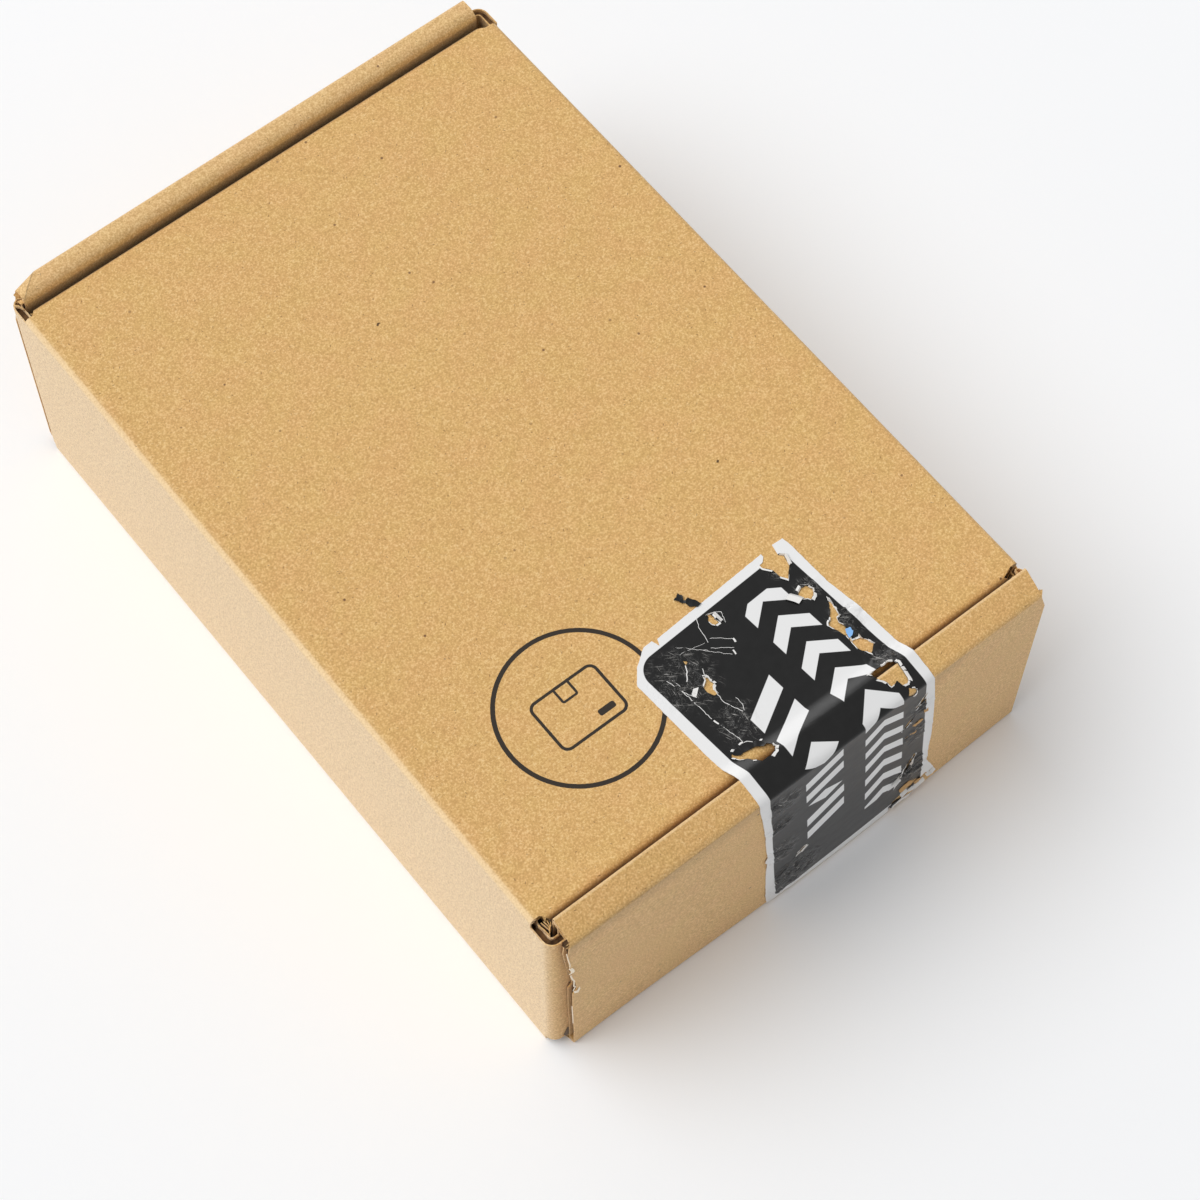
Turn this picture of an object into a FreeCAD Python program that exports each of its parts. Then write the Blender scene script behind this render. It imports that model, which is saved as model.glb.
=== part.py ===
"""A small mailing parcel: a corrugated box folded from one blank, held shut by a film label.

Millimetres, +Z up. The origin is on the ground under the middle of the box. The long side runs
along Y, and the labelled end is at -Y. The lid hinges on the wall at -X and tucks in at +X.
"""
import FreeCAD, Part
import math
import os

# The board and how it creases
board = 1.5            # thickness of the fluted board
slack = 0.25           # play between two boards that lie face to face
crease_round = 1.2     # outer radius of a scored and crushed crease
corner_round = 2.0     # outer radius of the soft upright corners, which aren't crushed

# The closed box
box_length = 151.4     # over the outer faces of the two rolled ends
box_width = 100.8      # over the outer faces of the hinge wall and the front wall
lid_height = 47.8      # from the ground to the lid's top face
end_rise = 2.0         # how far the rolled ends stand above the lid

# The rolled ends
end_panel_width = 97.0   # width of an outer end wall between its raw side edges
near_end_shift = 0.8     # the near end wall sits this far towards the front wall
far_end_shift = -1.0     # and the far one this far towards the hinge wall
tab_width = 12.0         # locking tabs at the foot of each inner end wall
tab_spread = 44.0        # between the middles of the two tabs of one end

# The long walls and the ears at their ends
wall_drop = 0.6        # raw top edge of the hinge wall's ends, below the lid's top face
ear_length = 40.0      # ears that are folded into the rolled ends
ear_lift = 2.2         # gap between the ears' lower edge and the ground
ear_taper = 6.0        # how far an ear narrows, above and below, at its free end

# The lid and what is tucked in
front_step = 0.4       # lid's front crease behind the front wall's outer face
hinge_relief = 1.2     # each end of the hinge crease stops this far short of the lid's end crease
relief_round = 1.5     # radius of the punched notches at the lid's corners
lid_flap_width = 92.6  # end flaps of the lid
lid_flap_depth = 16.0  # how far they reach down inside, from the lid's top face
tuck_depth = 34.0      # front flap of the lid, from the lid's top face
flap_corner = 8.0      # cut corners of the flaps that are tucked in

# The label, a printed film that runs from the lid over the near rolled end and down to the ground
film = 0.12            # film and glue
label_width = 37.5
label_turn = 3.0       # degrees that the label is turned on the lid, from square
label_left = -12.4     # X of the label's top left corner, if that corner weren't cut off
label_top = 44.2       # and how far that corner is from the middle of the box, along Y
label_foot = 0.6       # height of the label's lower edge above the ground
cut_corner = 5.0       # top left corner that is cut off
tear_start = 6.75      # a bit is torn out of the top edge, beginning this far from the right edge
tear_width = 3.375     # width of that tear
tear_depth = 3.0       # its depth at the right side
tear_slope = 0.4       # and how much shallower it is at the left side
tip_start = 3.0        # the tip left beside the tear, from the right edge
tip_rise = 0.3         # and above the top edge
worn_width = 1.5       # the top right corner is worn off from this far in
worn_top = 2.0         # beginning this far down
worn_depth = 9.0       # and ending this far down the right edge
ramp_angle = 38.0      # slope of the film where it bridges the step up to the rolled end

half_length = box_length / 2
half_width = box_width / 2
end_top = lid_height + end_rise
end_depth = 3 * board + 2 * slack                # outer wall, ear and inner wall side by side
lid_half = half_length - end_depth - slack       # middle of the box to the lid's end creases
ear_face = half_length - board - slack           # middle of the box to the ears' outer faces
crease_half = lid_half - hinge_relief            # middle of the box to the hinge crease's ends
wall_top = lid_height - wall_drop
front_top = lid_height - board - slack           # raw top edge of the front wall, under the lid
tuck_face = half_width - board - slack           # outer face of the tucked front flap
Vector = FreeCAD.Vector


def unit(a, b):
    """Direction from one flat point to another."""
    length = math.hypot(b[0] - a[0], b[1] - a[1])
    return ((b[0] - a[0]) / length, (b[1] - a[1]) / length)


def edge_line(route, aside, radius):
    """The route moved aside to its left, as straight runs and arcs.

    Left turns are rounded to the radius, less the move aside. Right turns stay sharp.
    """
    ways = [unit(a, b) for a, b in zip(route, route[1:])]
    lefts = [(-v, u) for u, v in ways]
    runs = [[(route[0][0] + aside * lefts[0][0], route[0][1] + aside * lefts[0][1])]]
    bend_radius = max(radius - aside, 0.0)
    for corner, way, left, next_way, next_left in zip(
        route[1:-1], ways, lefts, ways[1:], lefts[1:]
    ):
        share = aside / (1 + left[0] * next_left[0] + left[1] * next_left[1])
        tip = (
            corner[0] + share * (left[0] + next_left[0]),
            corner[1] + share * (left[1] + next_left[1]),
        )
        turn = math.atan2(way[0] * next_way[1] - way[1] * next_way[0],
                          way[0] * next_way[0] + way[1] * next_way[1])
        if turn <= 0 or bend_radius < 0.01:
            runs.append([tip])
            continue
        back = bend_radius * math.tan(turn / 2)
        bulge = bend_radius * (1 / math.cos(turn / 2) - 1)
        inward = unit((0, 0), (left[0] + next_left[0], left[1] + next_left[1]))
        runs.append([
            (tip[0] - back * way[0], tip[1] - back * way[1]),
            (tip[0] + bulge * inward[0], tip[1] + bulge * inward[1]),
            (tip[0] + back * next_way[0], tip[1] + back * next_way[1]),
        ])
    runs.append([(route[-1][0] + aside * lefts[-1][0], route[-1][1] + aside * lefts[-1][1])])
    return runs


def bent_sheet(route, thickness, radius, place, along):
    """A sheet that follows the flat route with its thickness to the left, swept straight along.

    place turns a flat point into a point in space, and along is the sweep.
    """
    edges = []
    here = None
    first = edge_line(route, 0.0, radius)
    second = [run[::-1] for run in edge_line(route, thickness, radius)[::-1]]
    for run in first + second:
        points = [place(*point) for point in run]
        if here is not None:
            edges.append(Part.makeLine(here, points[0]))
        if len(points) == 3:
            edges.append(Part.Arc(*points).toShape())
        here = points[-1]
    edges.append(Part.makeLine(here, place(*first[0][0])))
    return Part.Face(Part.Wire(edges)).extrude(along)


def slab(x, y, z):
    """A box between two values on each axis."""
    return Part.makeBox(x[1] - x[0], y[1] - y[0], z[1] - z[0], Vector(x[0], y[0], z[0]))


def across_x(route, x):
    """A board folded along X: the route is in Y and Z."""
    return bent_sheet(route, board, crease_round,
                      lambda u, v: Vector(x[0], u, v), Vector(x[1] - x[0], 0, 0))


def across_y(route, y):
    """A board folded along Y: the route is in X and Z."""
    return bent_sheet(route, board, crease_round,
                      lambda u, v: Vector(u, y[0], v), Vector(0, y[1] - y[0], 0))


def upright(route, z):
    """A wall and its ears, folded at upright corners: the route is in X and Y."""
    return bent_sheet(route, board, corner_round,
                      lambda u, v: Vector(u, v, z[0]), Vector(0, 0, z[1] - z[0]))


def corner_cut(size, corner, first, second, depth):
    """A three-sided prism that cuts a corner off a flap."""
    points = [corner, corner + first * size, corner + second * size, corner]
    return Part.Face(Part.makePolygon(points)).extrude(depth)


def wrap():
    """Front wall, floor, hinge wall and lid, as one strip round the box."""
    wall_half = ear_face - corner_round
    nose_foot = lid_height - board - slack / 2
    floor_and_walls = across_y(
        [(-half_width, lid_height - crease_round), (-half_width, 0), (half_width, 0),
         (half_width, front_top)],
        (-wall_half, wall_half),
    )
    lid = across_y(
        [(half_width - front_step, nose_foot), (half_width - front_step, lid_height),
         (-half_width, lid_height), (-half_width, lid_height - 2 * crease_round)],
        (-crease_half, crease_half),
    )
    return [floor_and_walls, lid]


def lid_flaps():
    """The lid's two end flaps and its front flap, all tucked down inside the walls."""
    half = lid_flap_width / 2
    foot = lid_height - lid_flap_depth
    ends = across_x(
        [(lid_half, foot), (lid_half, lid_height), (-lid_half, lid_height), (-lid_half, foot)],
        (-half, half),
    )
    tuck_half = crease_half - board
    tuck_foot = lid_height - tuck_depth
    front = slab((tuck_face - board, tuck_face), (-tuck_half, tuck_half),
                 (tuck_foot, lid_height - board / 2))
    cuts = []
    for side in (-1, 1):
        inward = Vector(0, -side, 0)
        cuts.append(corner_cut(flap_corner, Vector(tuck_face - board, side * tuck_half, tuck_foot),
                               inward, Vector(0, 0, 1), Vector(board, 0, 0)))
        for end in (-1, 1):
            cuts.append(corner_cut(flap_corner, Vector(side * half, end * lid_half, foot),
                                   Vector(-side, 0, 0), Vector(0, 0, 1), Vector(0, -end * board, 0)))
            notch = Vector(side * (half + relief_round), end * (lid_half + slack),
                           lid_height - board)
            cuts.append(Part.makeCylinder(relief_round, board, notch))
    return [ends, front], cuts


def rolled_end(end, shift):
    """One end wall: up from the floor, over the top and down inside, with its locking tabs.

    end is -1 for the near end and 1 for the far one.
    """
    outer = end * half_length
    inner = end * (half_length - end_depth)
    side = (shift - end_panel_width / 2, shift + end_panel_width / 2)
    route = [(0, 0), (outer, 0), (outer, end_top), (inner, end_top), (inner, board + slack)]
    if end < 0:
        route = route[::-1]
    roll = across_x(route, side)
    room = half_width - board - slack
    y = sorted((inner, inner + end * board))
    below_roll = (board, end_top - board)
    trims = [slab((room, half_width + board), y, below_roll),
             slab((-half_width - board, -room), y, below_roll)]
    tabs = []
    slots = []
    for middle in (-tab_spread / 2, tab_spread / 2):
        x = (middle - tab_width / 2, middle + tab_width / 2)
        tabs.append(slab(x, y, (slack, 2 * board)))
        slots.append(slab((x[0] - slack, x[1] + slack), (y[0] - slack, y[1] + slack), (0, board)))
    return roll.cut(trims), tabs, slots


def ears():
    """The long walls' upright corners and the ears that lie inside the rolled ends."""
    z = (ear_lift, wall_top)
    hinge_free = ear_length - half_width
    front_free = half_width - ear_length
    hinge_side = upright(
        [(hinge_free, ear_face), (-half_width, ear_face),
         (-half_width, -ear_face), (hinge_free, -ear_face)], z)
    front_side = upright(
        [(front_free, -ear_face), (half_width, -ear_face),
         (half_width, ear_face), (front_free, ear_face)], z)
    # The hinge wall bends over into the lid, and the front wall stops under the lid's front crease.
    over_hinge = slab((-half_width, -half_width + board), (-crease_half, crease_half),
                      (lid_height - crease_round, lid_height))
    over_front = slab((half_width - board, half_width),
                      (-crease_half - slack, crease_half + slack), (front_top, lid_height))
    cuts = [over_hinge, over_front]
    for end in (-1, 1):
        depth = Vector(0, -end * board, 0)
        for x, back in ((hinge_free, -1), (front_free, 1)):
            for height, way in ((z[0], 1), (z[1], -1)):
                cuts.append(corner_cut(ear_taper, Vector(x, end * ear_face, height),
                                       Vector(back, 0, 0), Vector(0, 0, way), depth))
    return hinge_side.cut(cuts), front_side.cut(cuts)


def mailer_box():
    """The whole box, folded and closed, as the one piece that it is cut from."""
    panels = wrap()
    flaps, flap_cuts = lid_flaps()
    panels += flaps
    near, near_tabs, near_slots = rolled_end(-1, near_end_shift)
    far, far_tabs, far_slots = rolled_end(1, far_end_shift)
    panels += [near, far]
    folded = panels[0].fuse(panels[1:]).cut(flap_cuts + near_slots + far_slots)
    return folded.fuse(list(ears()) + near_tabs + far_tabs).removeSplitter()


def seal_label():
    """The film label, stuck to the lid, the top of the near rolled end and the end wall."""
    ramp = math.radians(ramp_angle)
    shoulder = -half_length + end_depth - crease_round
    ramp_top = shoulder + crease_round * math.tan(ramp / 2)
    ramp_foot = ramp_top + end_rise / math.tan(ramp)
    beyond = 10.0    # the cutting shapes reach this far past the label
    route = [(-label_top + beyond, lid_height), (ramp_foot, lid_height), (ramp_top, end_top),
             (-half_length, end_top), (-half_length, label_foot)]
    span = label_width + 2 * beyond
    sheet = bent_sheet(route, -film, crease_round,
                       lambda u, v: Vector(label_left - beyond, u, v), Vector(span, 0, 0))

    turn = math.radians(label_turn)
    length = end_top + half_length - label_top + beyond

    def flat(across, down):
        """A point of the label laid flat, as X and the distance down from its top left corner."""
        return (label_left + across * math.cos(turn) + down * math.sin(turn),
                down * math.cos(turn) - across * math.sin(turn))

    tear_left = label_width - tear_start
    outline = [flat(*point) for point in (
        (cut_corner, 0), (tear_left, 0), (tear_left, tear_depth - tear_slope),
        (tear_left + tear_width, tear_depth), (label_width - tip_start, -tip_rise),
        (label_width - worn_width, worn_top), (label_width, worn_depth),
        (label_width, length), (0, length), (0, cut_corner),
    )]
    top = [Vector(x, -label_top - down, lid_height - beyond) for x, down in outline]
    bend = half_length - label_top - crease_round
    front = [Vector(x, -half_length - beyond, end_top + bend - down) for x, down in outline]
    over_top = Part.Face(Part.makePolygon(top + top[:1])).extrude(Vector(0, 0, 3 * beyond))
    down_front = Part.Face(Part.makePolygon(front + front[:1])).extrude(Vector(0, 3 * beyond, 0))
    split = -half_length + crease_round
    x = (label_left - beyond, label_left + span)
    behind = slab(x, (split, beyond), (-beyond, end_top + beyond))
    ahead = slab(x, (-half_length - beyond, split), (-beyond, end_top + beyond))
    on_top = sheet.common(over_top).common(behind)
    on_front = sheet.common(down_front).common(ahead)
    return on_top.fuse(on_front).removeSplitter()


def save(name, shape):
    """Write one sub-part, as a single solid, to its own file."""
    solid = shape.Solids[0]
    assert len(shape.Solids) == 1 and solid.isValid(), name
    solid.exportStep("parts/" + name + ".step")
    print(name, "volume", round(solid.Volume, 1), "faces", len(solid.Faces))


os.makedirs("parts", exist_ok=True)
save("mailer_box", mailer_box())
save("seal_label", seal_label())
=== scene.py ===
import math
import random

import bmesh
import bpy
from mathutils import Matrix, Vector, noise


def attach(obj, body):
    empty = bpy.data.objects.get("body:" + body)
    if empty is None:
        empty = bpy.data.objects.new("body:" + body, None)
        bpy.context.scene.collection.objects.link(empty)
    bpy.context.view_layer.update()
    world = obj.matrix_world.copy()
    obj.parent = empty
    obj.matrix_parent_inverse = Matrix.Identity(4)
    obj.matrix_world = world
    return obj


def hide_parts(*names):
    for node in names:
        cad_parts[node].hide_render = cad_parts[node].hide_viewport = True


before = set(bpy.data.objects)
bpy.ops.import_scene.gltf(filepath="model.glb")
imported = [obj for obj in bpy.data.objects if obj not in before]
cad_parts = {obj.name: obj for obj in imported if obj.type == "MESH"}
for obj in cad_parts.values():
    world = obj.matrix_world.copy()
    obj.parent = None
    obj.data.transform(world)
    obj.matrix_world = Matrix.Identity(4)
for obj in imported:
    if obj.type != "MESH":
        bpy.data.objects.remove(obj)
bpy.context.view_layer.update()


# The tray: the floor with the hinge wall and the front wall, creased and folded up from one
# blank of kraft fine-flute board. Past the upright corners the walls turn into ears, which end
# up inside the rolled ends.
BOARD = 1.5
CREASE = 1.0
HALF_WIDTH = 50.4
HALF_LENGTH = 75.7
WALL_HALF = 72.15
CREASE_HALF = 69.25
HINGE_FOOT = 44.0
FRONT_TOP = 46.05
WALL_TOP = 47.2
EAR_BEND = 2.0
EAR_MIDDLE = 24.7


def lengths(first, last, step):
    """Evenly spaced places from first to last, about a step apart."""
    count = max(1, round((last - first) / step))
    return [first + (last - first) * i / count for i in range(count + 1)]


def part_way(value, low, high):
    """How far a value has come from low to high, from 0 to 1."""
    return max(0.0, min(1.0, (value - low) / (high - low)))


def folded_strip(line, radii, start, sweep):
    """A sheet without thickness: a creased line of points, swept straight from its start."""
    sheet = bmesh.new()
    points = [sheet.verts.new(point) for point in line]
    for a, b in zip(points, points[1:]):
        sheet.edges.new((a, b))
    for point, radius in zip(points[1:-1], radii):
        bmesh.ops.bevel(sheet, geom=[point], offset=radius, offset_type="OFFSET", segments=6,
                        profile=0.5, affect="VERTICES", material=-1)
    bmesh.ops.translate(sheet, verts=sheet.verts[:], vec=start)
    swept = bmesh.ops.extrude_edge_only(sheet, edges=sheet.edges[:])["geom"]
    bmesh.ops.translate(sheet, verts=[v for v in swept if isinstance(v, bmesh.types.BMVert)],
                        vec=sweep)
    return sheet


def cut_at(sheet, axis, places):
    """Cuts the sheet straight across at places along one axis, so that it can be shaped there."""
    normal = [0, 0, 0]
    normal[axis] = 1
    for place in places:
        point = [0, 0, 0]
        point[axis] = place
        bmesh.ops.bisect_plane(sheet, geom=sheet.verts[:] + sheet.edges[:] + sheet.faces[:],
                               dist=1e-4, plane_co=point, plane_no=normal)


def rim(sheet, test):
    """Open edges of the sheet whose middle passes the test."""
    return [e for e in sheet.edges if e.is_boundary and test((e.verts[0].co + e.verts[1].co) / 2)]


def pull(sheet, edges, by):
    """Draws a new strip of board out of some open edges, and gives its new outer edges."""
    made = bmesh.ops.extrude_edge_only(sheet, edges=edges)["geom"]
    bmesh.ops.translate(sheet, verts=[v for v in made if isinstance(v, bmesh.types.BMVert)],
                        vec=by)
    return [e for e in made if isinstance(e, bmesh.types.BMEdge)]


def fold(sheet, edges, centre, axis, degrees, steps=5):
    """Bends a new crease out of some open edges, and gives its new outer edges."""
    corners = list({v for e in edges for v in e.verts})
    made = bmesh.ops.spin(sheet, geom=corners + edges, cent=centre, axis=axis,
                          angle=math.radians(degrees), steps=steps, use_merge=False,
                          use_duplicate=False)["geom_last"]
    return [e for e in made if isinstance(e, bmesh.types.BMEdge)]


def thicken(sheet, outside):
    """Gives the sheet the board's thickness, on its inner side, and opens its raw edges.

    outside is a point and the way its outer face looks. The two liners stand at the raw edge,
    and the fluting lies a little deeper, with the second material.
    """
    bmesh.ops.remove_doubles(sheet, verts=sheet.verts[:], dist=0.02)
    bmesh.ops.recalc_face_normals(sheet, faces=sheet.faces[:])
    point, way = Vector(outside[0]), Vector(outside[1])
    nearest = min(sheet.faces, key=lambda f: (f.calc_center_median() - point).length)
    if nearest.normal.dot(way) < 0:
        bmesh.ops.reverse_faces(sheet, faces=sheet.faces[:])
    skin = set(sheet.verts)
    turned = ([1, 0, 0, 1], [0, 0, 1, 1], [0, 1, 1, 0])
    bmesh.ops.solidify(sheet, geom=sheet.faces[:], thickness=BOARD)
    raw = []
    for face in sheet.faces:
        loop = list(face.verts)
        while len(loop) == 4 and [v in skin for v in loop] in turned:
            loop = loop[1:] + loop[:1]
        if [v in skin for v in loop] == [1, 1, 0, 0]:
            if (loop[1].co - loop[0].co).dot(loop[2].co - loop[3].co) > 0:
                raw.append(face)
    bmesh.ops.inset_region(sheet, faces=raw, thickness=0.24, depth=0.0, use_boundary=True,
                           use_even_offset=True)
    bmesh.ops.inset_region(sheet, faces=raw, thickness=0.01, depth=-0.7, use_boundary=True,
                           use_even_offset=False)
    for face in raw:
        face.material_index = 1


def add(tree, kind, inputs=None, **settings):
    """A node with its settings, and its inputs set or linked."""
    made = tree.nodes.new(kind)
    for name, value in settings.items():
        setattr(made, name, value)
    for name, value in (inputs or {}).items():
        if isinstance(value, bpy.types.NodeSocket):
            tree.links.new(value, made.inputs[name])
        else:
            made.inputs[name].default_value = value
    return made


def sums(tree, operation, a, b=0.0, c=0.0):
    """One step of arithmetic between numbers or sockets."""
    return add(tree, "ShaderNodeMath", {0: a, 1: b, 2: c}, operation=operation).outputs[0]


def blend(tree, share, a, b):
    """A colour between two others."""
    return add(tree, "ShaderNodeMix", {0: share, 6: a, 7: b}, data_type="RGBA").outputs[2]


def between(tree, value, low, high, new_low=0.0, new_high=1.0):
    """A value turned from one range into another, and kept inside it."""
    return add(tree, "ShaderNodeMapRange",
               {0: value, 1: low, 2: high, 3: new_low, 4: new_high}).outputs[0]


def fibres(tree, place, angles, length, width, share):
    """Short straight fibres lying at the given angles, as a mask."""
    found = None
    for i, angle in enumerate(angles):
        turned = add(tree, "ShaderNodeMapping",
                     {"Vector": place, "Rotation": [math.radians(a) for a in angle],
                      "Location": (0.013 * i, 0.007 * i, 0.003),
                      "Scale": (length, width, width)}, vector_type="TEXTURE")
        cells = add(tree, "ShaderNodeTexVoronoi",
                    {"Vector": turned.outputs[0], "Scale": 1.0, "Randomness": 1.0})
        chosen = add(tree, "ShaderNodeSeparateColor", {0: cells.outputs["Color"]})
        few = sums(tree, "LESS_THAN", chosen.outputs[0], share)
        line = between(tree, cells.outputs["Distance"], 0.27, 0.15)
        both = sums(tree, "MULTIPLY", line, few)
        found = both if found is None else sums(tree, "MAXIMUM", found, both)
    return found


def kraft_finish(name, printed=None):
    """Brown liner paper: mottled fibres, dark and pale hairs, paler along creases from abrasion and
    with a painted highlight on crease edges that catch the light, paler with a painted sheen on the
    hinge wall, and darkened with painted shade in creases, gaps and recesses.

    printed, where it is given, builds a mask of what is printed on the paper in black.
    """
    made = bpy.data.materials.new(name)
    made.use_nodes = True
    tree = made.node_tree
    shader = tree.nodes["Principled BSDF"]
    place = add(tree, "ShaderNodeTexCoord").outputs["Object"]
    grain = add(tree, "ShaderNodeTexNoise", {"Vector": place, "Scale": 3000.0, "Detail": 3.0,
                                             "Roughness": 0.6}).outputs["Fac"]
    mottle = add(tree, "ShaderNodeTexNoise", {"Vector": place, "Scale": 1250.0, "Detail": 3.0,
                                              "Roughness": 0.6}).outputs["Fac"]
    cloud = add(tree, "ShaderNodeTexNoise", {"Vector": place, "Scale": 170.0, "Detail": 3.0,
                                             "Roughness": 0.5}).outputs["Fac"]
    paper = blend(tree, between(tree, cloud, 0.35, 0.65),
                  (0.756, 0.451, 0.176, 1.0), (0.741, 0.470, 0.170, 1.0))
    # Painted sheen: the 'pale' share lightens the hinge wall to stand for the whitish sheen that
    # grazing light gives it; on the far ridge's top it makes the paper a little paler.
    pale_and_painted_sheen = add(tree, "ShaderNodeAttribute", attribute_name="pale").outputs["Fac"]
    paper = blend(tree, pale_and_painted_sheen, paper, (1.000, 0.800, 0.530, 1.0))
    paper = blend(tree, between(tree, mottle, 0.35, 0.75, 0.0, 0.42), paper,
                  (0.600, 0.350, 0.125, 1.0))
    paper = blend(tree, between(tree, grain, 0.42, 0.70, 0.0, 0.72), paper,
                  (0.450, 0.255, 0.085, 1.0))
    paper = blend(tree, between(tree, grain, 0.48, 0.24, 0.0, 0.68), paper,
                  (0.930, 0.690, 0.360, 1.0))
    turns = [(12, 8, 15), (-10, 14, 78), (8, -12, 133)]
    pale = fibres(tree, place, turns, 0.0020, 0.00036, 0.10)
    paper = blend(tree, sums(tree, "MULTIPLY", pale, 0.35), paper, (0.920, 0.700, 0.390, 1.0))
    dark = fibres(tree, place, [(a, b, c + 37) for a, b, c in turns], 0.0013, 0.00030, 0.022)
    specks = add(tree, "ShaderNodeTexVoronoi", {"Vector": place, "Scale": 480.0})
    chosen = add(tree, "ShaderNodeSeparateColor", {0: specks.outputs["Color"]}).outputs[0]
    speck = sums(tree, "MULTIPLY", between(tree, specks.outputs["Distance"], 0.15, 0.08),
                 between(tree, chosen, 0.93, 1.0, 0.0, 1.0))
    marks = sums(tree, "MAXIMUM", sums(tree, "MULTIPLY", dark, 0.75), speck)
    paper = blend(tree, marks, paper, (0.170, 0.080, 0.035, 1.0))
    # Paler along creases: real abrasion, and a painted highlight on crease edges that catch the
    # light.
    worn_and_highlit = add(tree, "ShaderNodeAttribute", attribute_name="wear_and_highlight").outputs["Fac"]
    scuff_and_highlight = sums(tree, "MULTIPLY", worn_and_highlit, between(tree, mottle, 0.30, 0.60, 0.35, 1.0))
    paper = blend(tree, scuff_and_highlight, paper, (0.880, 0.660, 0.390, 1.0))
    # Painted shade: where a piece stores a 'shade' share the paper goes towards near black, in
    # creases, gaps and recesses; the two dark fibres on the lid, which are real marks, use it too.
    dim = add(tree, "ShaderNodeAttribute", attribute_name="shade").outputs["Fac"]
    paper = blend(tree, dim, paper, (0.055, 0.028, 0.012, 1.0))
    if printed:
        paper = blend(tree, printed(tree, place, grain), paper, (0.012, 0.010, 0.009, 1.0))
    tree.links.new(paper, shader.inputs["Base Color"])
    shader.inputs["Roughness"].default_value = 0.72
    shader.inputs["Specular IOR Level"].default_value = 0.25
    shader.inputs["Sheen Weight"].default_value = 0.25
    shader.inputs["Sheen Roughness"].default_value = 0.45
    relief = sums(tree, "ADD", sums(tree, "MULTIPLY", grain, 0.6),
                  sums(tree, "MULTIPLY", mottle, 0.6))
    bump = add(tree, "ShaderNodeBump", {"Height": relief, "Strength": 0.4, "Distance": 0.00012})
    tree.links.new(bump.outputs[0], shader.inputs["Normal"])
    return made


def flute_finish():
    """The fluting between the liners at a raw edge, darkened towards near black as painted shade
    for the deep recess.
    """
    made = bpy.data.materials.new("crushed fluting")
    made.use_nodes = True
    tree = made.node_tree
    shader = tree.nodes["Principled BSDF"]
    place = add(tree, "ShaderNodeTexCoord").outputs["Object"]
    streak = add(tree, "ShaderNodeTexNoise",
                 {"Vector": place, "Scale": 700.0, "Detail": 2.0}).outputs["Fac"]
    brown = blend(tree, between(tree, streak, 0.35, 0.65), (0.035, 0.018, 0.008, 1.0),
                  (0.170, 0.090, 0.038, 1.0))
    tree.links.new(brown, shader.inputs["Base Color"])
    shader.inputs["Roughness"].default_value = 0.9
    shader.inputs["Specular IOR Level"].default_value = 0.2
    return made


kraft = kraft_finish("kraft liner")
fluting = flute_finish()


def store(sheet, name, share):
    """Keeps a share from 0 to 1 for each corner of the mesh, which its finish reads."""
    layer = sheet.verts.layers.float.new(name)
    for v in sheet.verts:
        v[layer] = share(v.co)


def finished(sheet, name, finishes, node="mailer_box"):
    """Turns millimetres into metres and makes the piece an object on the box's body."""
    bmesh.ops.scale(sheet, vec=(0.001, 0.001, 0.001), verts=sheet.verts[:])
    mesh = bpy.data.meshes.new(name)
    sheet.to_mesh(mesh)
    sheet.free()
    for finish in finishes:
        mesh.materials.append(finish)
    mesh.shade_smooth()
    mesh.set_sharp_from_angle(angle=math.radians(38))
    piece = bpy.data.objects.new(name, mesh)
    bpy.context.scene.collection.objects.link(piece)
    even = piece.modifiers.new("even shading", "WEIGHTED_NORMAL")
    even.keep_sharp = True
    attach(piece, "root")
    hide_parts(node)
    return piece


tray = folded_strip([(-HALF_WIDTH, 0, HINGE_FOOT), (-HALF_WIDTH, 0, 0), (HALF_WIDTH, 0, 0),
                     (HALF_WIDTH, 0, FRONT_TOP)], [CREASE, CREASE], (0, -WALL_HALF, 0),
                    (0, 2 * WALL_HALF, 0))
cut_at(tray, 1, [-CREASE_HALF, -68.3, CREASE_HALF] + lengths(-60.0, 60.0, 12.0))
cut_at(tray, 2, [2.2] + lengths(8.0, 40.0, 8.0))
# Past the end creases the walls stand higher, but at the near front corner they are crushed.
for side, end, wall, corner in ((-1, -1, HINGE_FOOT, 45.5), (-1, 1, HINGE_FOOT, WALL_TOP),
                                (1, 1, FRONT_TOP, WALL_TOP)):
    edge = rim(tray, lambda p: p.x * side > 50 and p.z > wall - 0.1 and p.y * end > CREASE_HALF)
    pull(tray, edge, (0, 0, corner - wall))
for v in tray.verts:
    if v.co.x > 50 and v.co.y < -CREASE_HALF + 0.01 and v.co.z > 46.0:
        v.co.z = 45.0
for side in (-1, 1):
    for end in (-1, 1):
        upright = rim(tray, lambda p: p.x * side > 50 and p.y * end > 71.9 and 2.2 < p.z)
        centre = (side * (HALF_WIDTH - EAR_BEND), end * WALL_HALF, 0)
        ear = fold(tray, upright, centre, (0, 0, 1), side * end * 90)
        ear = pull(tray, ear, (-side * 32.0, 0, 0))
        ear = pull(tray, ear, (-side * 6.0, 0, 0))
        for v in {v for e in ear for v in e.verts}:
            v.co.z = EAR_MIDDLE + 0.72 * (v.co.z - EAR_MIDDLE)
thicken(tray, ((0, 0, 0), (0, 0, -1)))
store(tray, "wear_and_highlight", lambda p: 0.5 if abs(p.x) > 49.2 and p.z < 1.2 else 0.0)
# Painted sheen: the hinge wall is made paler to stand for the sheen of grazing light on it.
store(tray, "pale", lambda p: 0.72 * part_way(-abs(p.y), -73.9, -72.3) if p.x < -48.5 else 0.0)
finished(tray, "tray_and_ears", [kraft, fluting])


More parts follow.
